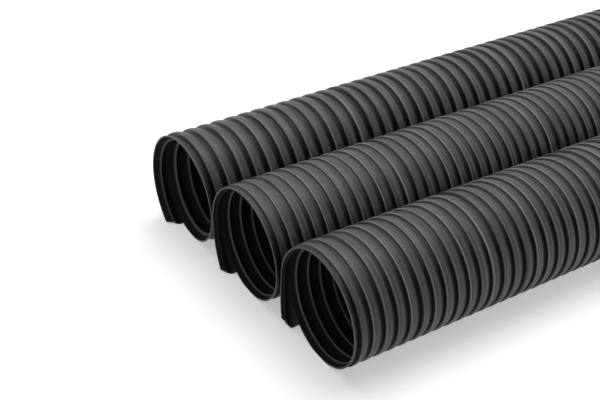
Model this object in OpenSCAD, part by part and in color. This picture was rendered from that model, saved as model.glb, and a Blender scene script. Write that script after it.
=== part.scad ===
// Three lengths of ribbed hose side by side, each with a bare end that bends up.

/* [Hose] */
// Bore that a hose tail pushes into, mm
bore = 38; // [25:0.5:60]
// Wall between the bore and the valleys of the ribs, mm
wall = 1.2; // [0.8:0.1:3]
// Height of a rib above the valley beside it, mm
rib_height = 2.3; // [1:0.1:4]
// Length of each hose, mm
hose_length = 276; // [240:6:360]
// Distance from one rib to the next, fitted to a whole number of ribs, mm
pitch = 6; // [4.5:0.25:9]
// Steep near side of a rib, as a share of the pitch
rise_share = 0.25; // [0.15:0.05:0.35]
// Crest of a rib, as a share of the pitch
crest_share = 0.25; // [0.1:0.05:0.4]

/* [Row] */
// Gap between neighbouring hoses, mm
row_gap = 0.4; // [0.3:0.1:5]
// Depth of the flat that each hose rests on, mm
foot_flat = 0.5; // [0.3:0.1:1]

/* [Bend] */
// Length of the bare end that lifts, fitted to whole ribs, mm
end_length = 90; // [60:6:108]
// Length that flexes behind it, fitted to whole ribs, mm
bend_length = 78; // [60:6:96]
// Clearance between the lifting end and the flexing length, mm
bend_gap = 0.4; // [0.3:0.1:1]

/* [Hidden] */
hose_names = ["back", "middle", "front"];
valley_radius = bore / 2 + wall;
crest_radius = valley_radius + rib_height;
ribs = round(hose_length / pitch);
rib_step = hose_length / ribs;
end_ribs = round(end_length / rib_step);
bend_ribs = round(bend_length / rib_step);
first_x = -hose_length / 2;
row_step = 2 * crest_radius + row_gap;
axis_height = crest_radius - foot_flat;

// Where the valley before a rib lies along the hose
function valley_x(rib) = first_x + rib_step * rib;

// Half outline of a stretch of hose as [radius, place along the hose], ribs outside and the bore inside
function half_outline(first_rib, last_rib, near_gap) = concat(
    [[bore / 2, valley_x(first_rib) + near_gap]],
    [for (rib = [first_rib:last_rib - 1]) each [
        [valley_radius, valley_x(rib) + (rib == first_rib ? near_gap : 0)],
        [crest_radius, valley_x(rib + rise_share)],
        [crest_radius, valley_x(rib + rise_share + crest_share)]
    ]],
    [[valley_radius, valley_x(last_rib)], [bore / 2, valley_x(last_rib)]]
);

// Turned stretch of one hose between two valleys, with the flat that it rests on
module hose_stretch(hose, first_rib, last_rib, near_gap = 0) {
    translate([0, row_step * (1 - hose), axis_height])
        difference() {
            rotate([0, 90, 0])
                rotate_extrude($fn = 96)
                    polygon(half_outline(first_rib, last_rib, near_gap));
            translate([first_x - pitch, -crest_radius, -2 * crest_radius])
                cube([hose_length + 2 * pitch, 2 * crest_radius, 2 * crest_radius - axis_height]);
        }
}

module hose_end(hose) {
    color("dimgray")
        hose_stretch(hose, 0, end_ribs);
}

module hose_bend(hose) {
    color("slategray")
        hose_stretch(hose, end_ribs, end_ribs + bend_ribs, bend_gap);
}

module hose_run(hose) {
    color("gray")
        hose_stretch(hose, end_ribs + bend_ribs, ribs);
}

for (hose = [0:2]) {
    hose_end(hose);
    hose_bend(hose);
    hose_run(hose);
}
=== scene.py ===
import math
import bpy
import numpy as np
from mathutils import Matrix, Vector


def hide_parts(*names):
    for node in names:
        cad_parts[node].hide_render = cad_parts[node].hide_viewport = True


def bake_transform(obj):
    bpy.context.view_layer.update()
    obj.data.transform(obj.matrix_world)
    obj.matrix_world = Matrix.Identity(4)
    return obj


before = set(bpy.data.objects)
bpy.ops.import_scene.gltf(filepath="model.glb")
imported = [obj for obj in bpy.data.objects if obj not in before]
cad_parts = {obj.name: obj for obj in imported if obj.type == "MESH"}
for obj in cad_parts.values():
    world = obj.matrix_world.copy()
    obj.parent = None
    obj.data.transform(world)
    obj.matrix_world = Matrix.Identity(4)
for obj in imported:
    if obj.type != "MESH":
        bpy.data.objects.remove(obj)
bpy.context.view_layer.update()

scene = bpy.context.scene
scene.view_settings.view_transform = "Standard"

# camera: stands in front of the open ends, to the left and above
cameraView = {
    "place": (-0.2923, -0.2896, 0.2544),  # metres
    "heading": 57.91,  # degrees from +X towards +Y
    "drop": 32.92,  # degrees below the horizon
    "lens": 66.0,  # mm
    "sensor": 36.0,  # mm
    "nearest": 0.01,  # metres, closest thing that shows
}


def setCamera(spec):
    data = bpy.data.cameras.new("hoseCamera")
    data.lens = spec["lens"]
    data.sensor_width = spec["sensor"]
    data.clip_start = spec["nearest"]
    cam = bpy.data.objects.new("hoseCamera", data)
    cam.location = spec["place"]
    cam.rotation_euler = (math.radians(90 - spec["drop"]), 0, math.radians(spec["heading"] - 90))
    scene.collection.objects.link(cam)
    scene.camera = cam


setCamera(cameraView)
print("camera set")

# one plastic strip, wound and bonded turn to turn; metres
hoseStrip = {
    "crest": 0.0225,  # radius outside, on a rib
    "wall": 0.0006,
    "sidesPerTurn": 66,
    "axisHeight": 0.022,
    "farEnd": 0.138,
    "sharpAngle": 42,  # degrees, edges past it stay sharp
    # across one pitch: share of the pitch, share of the groove's depth
    "outside": [
        (0.00, 0.84), (0.07, 0.75), (0.15, 0.62), (0.23, 0.48), (0.31, 0.32),
        (0.39, 0.16), (0.46, 0.05), (0.53, 0.00), (0.57, 0.02), (0.59, 0.29),
        (0.605, 0.78), (0.63, 0.94), (0.68, 1.00), (0.80, 0.98), (0.91, 0.94),
    ],
    # the same inside, where a ridge stands under each groove
    "inside": [
        (0.00, 0.84), (0.14, 0.62), (0.28, 0.36), (0.38, 0.16), (0.44, 0.02), (0.475, -0.40),
        (0.505, -0.60), (0.54, -0.50), (0.59, -0.10), (0.66, 0.80), (0.80, 0.98),
    ],
}
# side: metres from the row's middle; near: where the strip starts
# turns: of the strip, more where the hose lies pushed together; depth: of a groove
# start: degrees to the strip's cut end; slant: of that cut, in sides of a turn
# trim: share of the width cut off there
# flare: how far the free end of the strip springs out; spring: over what part of a turn
hoseRow = {
    "back": {
        "side": 0.0454, "near": -0.1402, "turns": 45, "depth": 0.0015,
        "start": -60.0, "slant": 2, "trim": 0.10, "flare": 0.0026, "spring": 0.50,
    },
    "middle": {
        "side": 0.0, "near": -0.1380, "turns": 54, "depth": 0.0008,
        "start": -52.0, "slant": 2, "trim": 0.25, "flare": 0.0045, "spring": 0.14,
    },
    "front": {
        "side": -0.0454, "near": -0.1359, "turns": 54, "depth": 0.0009,
        "start": -41.0, "slant": 2, "trim": 0.40, "flare": 0.0062, "spring": 0.12,
    },
}


def gridSize(spec, hose):  # rows of faces, and rows from one turn's last edge to the next turn's first
    n = spec["sidesPerTurn"]
    return (hose["turns"] - 1) * n, n - hose["slant"]


def stripSheet(spec, hose, outline, inset):
    # helix: a point at turn t and share u lies at radius r(u) and angle start + 2*pi*t
    # its place along the hose is x = near + length * (t + u) / turns
    # rows of the grid lean back by slant sides over the strip's width, so t = (row - slant*u) / sides
    share, height = np.array(outline).T
    n, cols = spec["sidesPerTurn"], len(outline)
    rows, wrap = gridSize(spec, hose)
    turn = (np.arange(rows + wrap + 1)[:, None] - hose["slant"] * share) / n
    angle = math.radians(hose["start"]) + 2 * np.pi * turn
    # the knife takes trim of the width off the first edge, and less of it round the first turn
    kept = share + (1 - share) * hose["trim"] * np.clip(1 - turn, 0, 1)
    level = np.interp(kept, np.append(share, 1), np.append(height, height[0]))
    radius = spec["crest"] - inset - hose["depth"] * (1 - level)
    radius = radius + hose["flare"] * np.clip(1 - turn / hose["spring"], 0, 1) ** 2
    x = hose["near"] + (spec["farEnd"] - hose["near"]) * (turn + kept) / hose["turns"]
    y = hose["side"] + radius * np.cos(angle)
    z = np.maximum(spec["axisHeight"] + radius * np.sin(angle), 0.0)  # pressed flat on the floor
    points = np.stack([x, y, z], axis=-1)
    # the last column joins the first one of the next turn, which closes the tube
    number = np.arange(rows + wrap + 1)[:, None] + (rows + wrap + 1) * np.arange(cols)
    i = np.arange(rows)[:, None]
    j = np.arange(cols)
    nextRow = np.where(j == cols - 1, i + wrap, i)
    nextCol = (j + 1) % cols
    quads = np.stack([
        number[i, j], number[nextRow, nextCol], number[nextRow + 1, nextCol], number[i + 1, j],
    ], axis=-1)
    # uv: crest radius times the angle round the hose, in metres, then the share of the strip's width
    edge = np.append(share, 1.0)
    across = np.stack([edge[:-1], edge[1:], edge[1:], edge[:-1]], axis=-1)[None, :, :]
    cornerRow = i[:, :, None] + np.array([0, 0, 1, 1]) - hose["slant"] * across
    along = spec["crest"] * (math.radians(hose["start"]) + 2 * np.pi * cornerRow / n)
    uv = np.stack(np.broadcast_arrays(along, across), axis=-1)
    return points.transpose(1, 0, 2).reshape(-1, 3), number, quads.reshape(-1, 4), uv.reshape(-1, 4, 2)


def windHose(name, spec, hose):
    # outside and inside sheets of the strip, joined by its rims and its two cut ends
    rows, wrap = gridSize(spec, hose)
    outPoints, outNumber, outQuads, outUv = stripSheet(spec, hose, spec["outside"], 0.0)
    inPoints, inNumber, inQuads, inUv = stripSheet(spec, hose, spec["inside"], spec["wall"])
    inNumber, inQuads = inNumber + len(outPoints), inQuads + len(outPoints)

    def rim(first):  # open edge of the first or the last turn
        k = first + np.arange(wrap)
        return np.stack([outNumber[k, 0], outNumber[k + 1, 0], inNumber[k + 1, 0], inNumber[k, 0]], axis=-1)

    def cutFace(row):  # one flat face round the strip's whole section
        corner = [outNumber[row + wrap, 0], inNumber[row + wrap, 0]]
        return np.concatenate([outNumber[row], corner, inNumber[row][::-1]])

    quads = np.concatenate([outQuads[:, ::-1], inQuads, rim(0)[:, ::-1], rim(rows)])
    cuts = [cutFace(0), cutFace(rows)[::-1]]
    rimUv = np.zeros((2 * wrap, 4, 2))
    rimUv[:, :, 0] = np.arange(2 * wrap)[:, None] * 2 * np.pi * spec["crest"] / spec["sidesPerTurn"]
    cutUv = np.zeros((sum(len(c) for c in cuts), 2))
    uv = np.concatenate([outUv[:, ::-1], inUv + (0, 2), rimUv])  # the inside has shares from 2 to 3
    points = np.concatenate([outPoints, inPoints])
    # drop the grid points past the last turn that no face uses
    used = np.zeros(len(points), bool)
    used[quads.ravel()] = True
    renumber = np.cumsum(used) - 1
    faces = renumber[quads].tolist() + [renumber[c].tolist() for c in cuts]
    mesh = bpy.data.meshes.new(name)
    mesh.from_pydata(points[used].tolist(), [], faces)
    layer = mesh.uv_layers.new(name="strip")
    layer.data.foreach_set("uv", np.concatenate([uv.reshape(-1, 2), cutUv]).astype(np.float32).ravel())
    mesh.polygons.foreach_set("use_smooth", np.ones(len(mesh.polygons), bool))
    mesh.set_sharp_from_angle(angle=math.radians(spec["sharpAngle"]))
    mesh.update()
    made = bpy.data.objects.new(name, mesh)
    scene.collection.objects.link(made)
    return made


hoses = {}
for hoseName, hoseSpec in hoseRow.items():
    hose = windHose(hoseName + "_hose", hoseStrip, hoseSpec)
    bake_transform(hose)
    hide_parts(hoseName + "_hose_end", hoseName + "_hose_bend", hoseName + "_hose_run")
    hoses[hoseName] = hose
    print("wound", hose.name, len(hose.data.polygons), "faces")


# a socket that takes part in Python sums; each sign adds a Math node
class Wire:
    def __init__(self, tree, socket):
        self.tree, self.socket = tree, socket

    def math(self, operation, a, b):
        return Shop(self.tree).add("ShaderNodeMath", {"operation": operation}, {0: a, 1: b})

    def __add__(self, other):
        return self.math("ADD", self, other)

    def __radd__(self, other):
        return self.math("ADD", other, self)

    def __sub__(self, other):
        return self.math("SUBTRACT", self, other)

    def __rsub__(self, other):
        return self.math("SUBTRACT", other, self)

    def __mul__(self, other):
        return self.math("MULTIPLY", self, other)

    def __rmul__(self, other):
        return self.math("MULTIPLY", other, self)

    def __truediv__(self, other):
        return self.math("DIVIDE", self, other)

    def __rtruediv__(self, other):
        return self.math("DIVIDE", other, self)


class Shop:
    def __init__(self, tree):
        self.tree = tree

    # any node: its type, its settings first, then the values or links of its sockets
    def add(self, kind, settings=None, sockets=None, out=0):
        made = self.tree.nodes.new(kind)
        for key, value in (settings or {}).items():
            setattr(made, key, value)
        for key, value in (sockets or {}).items():
            if isinstance(value, Wire):
                self.tree.links.new(value.socket, made.inputs[key])
            else:
                made.inputs[key].default_value = value
        return Wire(self.tree, made.outputs[out]) if made.outputs else None

    def blend(self, share, first, second):
        return self.add("ShaderNodeMix", {"data_type": "RGBA"}, {0: share, 6: first, 7: second}, out=2)

    def ease(self, value, low, high, most=1.0):  # smooth step from 0 at low to most at high
        return self.add("ShaderNodeMapRange", {"interpolation_type": "SMOOTHSTEP"},
                        {0: value, 1: low, 2: high, 3: 0.0, 4: most})

    def noise(self, where, scale, detail, roughness):
        return self.add("ShaderNodeTexNoise", {},
                        {"Vector": where, "Scale": scale, "Detail": detail, "Roughness": roughness})

    def drawnNoise(self, where, along, across, detail, roughness):  # noise stretched along the strip
        spread = self.add("ShaderNodeVectorMath", {"operation": "MULTIPLY"},
                          {0: where, 1: (along, across, 1.0)})
        return self.noise(spread, 1.0, detail, roughness)


plasticLook = {
    "radius": hoseStrip["crest"],
    # colours
    "black": (0.022, 0.0217, 0.0205, 1),  # the plastic's own black; left unrubbed in the grooves as painted shade
    "crest": (0.040, 0.0393, 0.0365, 1),  # rubbed matt on the ribs
    "edge": (0.260, 0.255, 0.242, 1),  # painted highlight on lip edges, also the colour of pale scratches
    "groove": (0.0016, 0.0015, 0.0015, 1),  # painted shade: grooves that face aside or down
    "shadedInside": (0.0130, 0.0120, 0.0118, 1),  # painted shade inside the hose
    "ridgeHighlight": (0.130, 0.126, 0.122, 1),  # painted highlight on the edge of a ridge inside
    # gloss
    "roughness": 0.40,
    "rubbed": 0.12,  # added to the roughness on the ribs
    "cloudRoughness": 0.14,
    "streakRoughness": 0.08,
    "innerRoughness": 0.50,
    "outerIor": 1.40,
    "innerIor": 1.12,
    "bumpStrength": 0.22,
    "bumpDistance": 0.00012,  # metres
    # noises drawn along the strip: waves per metre along, per width across, detail, roughness
    "fine": (45.0, 7.5, 3.0, 0.6),
    "broad": (9.0, 3.0, 2.0, 0.5),
    "hair": (22.0, 9.0, 2.0, 0.55),
    # even noises: waves per metre, detail, roughness
    "cloud": (38.0, 4.0, 0.6),
    "grit": (2600.0, 2.0, 0.6),
    # where a value begins to show and where it shows in full
    "scratch": (0.52, 0.68),  # of the hair noise
    "highlightPatches": (0.36, 0.64, 0.85),  # of the broad noise, then the most; patches of the painted lip highlight
    "high": (0.51, 1.0),  # of the sine of the angle round the hose; painted light on the top
    "within": (1.4, 1.6),  # shares past these lie inside the hose
    # bands across the strip, as shares: begins, full, full, ends
    "valley": (0.32, 0.55, 0.57, 0.595),  # painted shade in the groove before a lip
    "lipFace": (0.555, 0.575, 0.60, 0.62),  # steep side of a lip, painted lighter on top
    # painted highlight along the edge of a lip
    "lipHighlight": (0.592, 0.608, 0.65, 0.70),
    "sideGrooveShade": (0.0, 0.34, 0.57, 0.59),  # painted shade on the whole slope down into a groove, where it faces aside or down
    # painted highlight on the edge of a ridge inside
    "ridgeHighlightBand": (2.36, 2.48, 2.54, 2.64),
    # strengths
    "streak": 2.80,  # how far the drawn lines along the strip show
    "rub": 0.36,  # even share of the rubbed colour
    "rubCloud": 0.5,
    "rubScratch": 0.45,
    "topGrooveLight": 0.85,  # painted light: how far a groove on top takes the rib's colour
    # painted light on the steep side of a lip on top
    "topLipFaceLight": 0.12,
    "paleScratch": 0.24,
    # how dark the painted shade in grooves facing aside or down gets
    "sideGrooveShadeStrength": 0.88,
}


def satinPlastic(spec):
    made = bpy.data.materials.new("satinBlackPlastic")
    made.use_nodes = True
    made.node_tree.nodes.clear()
    shop = Shop(made.node_tree)
    strip = shop.add("ShaderNodeUVMap", {"uv_map": "strip"})
    place = shop.add("ShaderNodeTexCoord", out="Object")
    along = shop.add("ShaderNodeSeparateXYZ", {}, {0: strip}, out=0)
    share = shop.add("ShaderNodeSeparateXYZ", {}, {0: strip}, out=1)

    def band(name):  # 1 on a band across the strip, else 0
        begins, risen, falls, ends = spec[name]
        return shop.ease(share, begins, risen) - shop.ease(share, falls, ends)

    fine, broad, hair = [shop.drawnNoise(strip, *spec[name]) for name in ("fine", "broad", "hair")]
    cloud, grit = [shop.noise(place, *spec[name]) for name in ("cloud", "grit")]
    uneven = cloud - 0.5  # about -0.5 to 0.5
    scratch = shop.ease(hair, *spec["scratch"])
    highlightPatches = shop.ease(broad, *spec["highlightPatches"])
    streak = (fine * 0.55 + broad * 0.45 - 0.5) * spec["streak"]
    upward = shop.add("ShaderNodeMath", {"operation": "SINE"}, {0: along / spec["radius"]})
    high = shop.ease(upward, *spec["high"])  # painted light: 1 on top of the hose, 0 where it faces aside or down
    within = shop.ease(share, *spec["within"])
    # painted shade: grooves keep the black, except on top, where painted light gives them the rib's colour
    outsideGrooveShade = 1 - band("valley") * (1 - high * spec["topGrooveLight"])
    # painted highlight on lip edges, in patches, plus painted light on the lip faces on top
    lipHighlight = band("lipHighlight") * highlightPatches + band("lipFace") * high * spec["topLipFaceLight"]
    # painted lip highlight together with pale scratches along the strip
    pale = lipHighlight + scratch * outsideGrooveShade * spec["paleScratch"]
    sideGrooveShade = (1 - within) * band("sideGrooveShade") * (1 - high)  # painted shade in grooves that face aside or down
    rubbing = spec["rub"] + streak + uneven * spec["rubCloud"] + scratch * spec["rubScratch"]
    # rubbed wear on the ribs, none where the grooves hold painted shade
    rub = shop.add("ShaderNodeMath", {"operation": "MULTIPLY", "use_clamp": True}, {0: outsideGrooveShade, 1: rubbing})
    rough = (spec["roughness"] + rub * spec["rubbed"] + uneven * spec["cloudRoughness"]
             + streak * spec["streakRoughness"])
    lift = fine * 0.6 + grit * 0.25 + broad * 0.15
    normal = shop.add("ShaderNodeBump", {}, {
        "Strength": spec["bumpStrength"], "Distance": spec["bumpDistance"], "Height": lift})
    outerColour = shop.blend(pale, shop.blend(rub, spec["black"], spec["crest"]), spec["edge"])
    # outside: near black for painted shade in side grooves; inside: painted shade with painted highlights on the
    # ridges
    innerColour = shop.blend(within, spec["groove"],
                             shop.blend(band("ridgeHighlightBand"), spec["shadedInside"], spec["ridgeHighlight"]))
    outer = shop.add("ShaderNodeBsdfPrincipled", {}, {
        "Base Color": outerColour, "Roughness": rough, "Normal": normal, "IOR": spec["outerIor"]})
    inner = shop.add("ShaderNodeBsdfPrincipled", {}, {
        "Base Color": innerColour, "Roughness": spec["innerRoughness"], "IOR": spec["innerIor"]})
    # the inside shader also paints near-black shade into outside grooves that face aside or down
    shade = shop.add("ShaderNodeMixShader", {}, {0: within + sideGrooveShade * spec["sideGrooveShadeStrength"], 1: outer, 2: inner})
    shop.add("ShaderNodeOutputMaterial", {}, {"Surface": shade})
    return made


plastic = satinPlastic(plasticLook)
for hose in hoses.values():
    hose.data.materials.append(plastic)
print("plastic on", len(hoses), "hoses")

# floor and light: a white floor and background, one big soft light above
studio = {
    "floorSize": 6.0,  # metres
    "floorColour": (0.80, 0.80, 0.80, 1),
    "floorGlow": 0.43,  # only for rays that show the floor
    "worldLight": 0.34,
    "white": (1, 1, 1, 1),
    # name, place in metres, size in metres, power in watts
    "lamps": [
        ("topLight", (0.22, 0.18, 0.92), 1.0, 9.2),
    ],
}


def shownRays(shop):  # 1 for camera, glossy and transmission rays, else 0
    kinds = ("Camera", "Glossy", "Transmission")
    rays = [shop.add("ShaderNodeLightPath", out="Is " + kind + " Ray") for kind in kinds]
    return shop.add("ShaderNodeMath", {"operation": "ADD", "use_clamp": True}, {0: rays[0] + rays[1], 1: rays[2]})


def layFloor(spec):
    # one square, x and y from -half to half
    half = spec["floorSize"] / 2
    corners = np.array([[-1, -1, 0], [1, -1, 0], [1, 1, 0], [-1, 1, 0]]) * half
    mesh = bpy.data.meshes.new("studioFloor")
    mesh.from_pydata(corners.tolist(), [], [[0, 1, 2, 3]])
    floor = bpy.data.objects.new("studioFloor", mesh)
    scene.collection.objects.link(floor)
    made = bpy.data.materials.new("paleFloor")
    made.use_nodes = True
    made.node_tree.nodes.clear()
    shop = Shop(made.node_tree)
    seen = shownRays(shop)
    pale = shop.add("ShaderNodeBsdfDiffuse", {}, {"Color": spec["floorColour"]})
    glow = shop.add("ShaderNodeEmission", {}, {"Color": spec["white"], "Strength": seen * spec["floorGlow"]})
    both = shop.add("ShaderNodeAddShader", {}, {0: pale, 1: glow})
    shop.add("ShaderNodeOutputMaterial", {}, {"Surface": both})
    mesh.materials.append(made)


def lightStudio(spec):
    world = bpy.data.worlds.new("studioWorld")
    scene.world = world
    world.use_nodes = True
    world.node_tree.nodes.clear()
    shop = Shop(world.node_tree)
    seen = shownRays(shop)
    strength = spec["worldLight"] + seen * (1 - spec["worldLight"])
    back = shop.add("ShaderNodeBackground", {}, {"Color": spec["white"], "Strength": strength})
    shop.add("ShaderNodeOutputWorld", {}, {"Surface": back})
    for name, place, size, power in spec["lamps"]:
        data = bpy.data.lights.new(name, "AREA")
        data.shape = "SQUARE"
        data.size = size
        data.energy = power
        lamp = bpy.data.objects.new(name, data)
        lamp.location = place
        lamp.rotation_euler = Vector(place).to_track_quat("Z", "Y").to_euler()  # shines at the row's middle
        scene.collection.objects.link(lamp)


layFloor(studio)
lightStudio(studio)
print("studio lit")
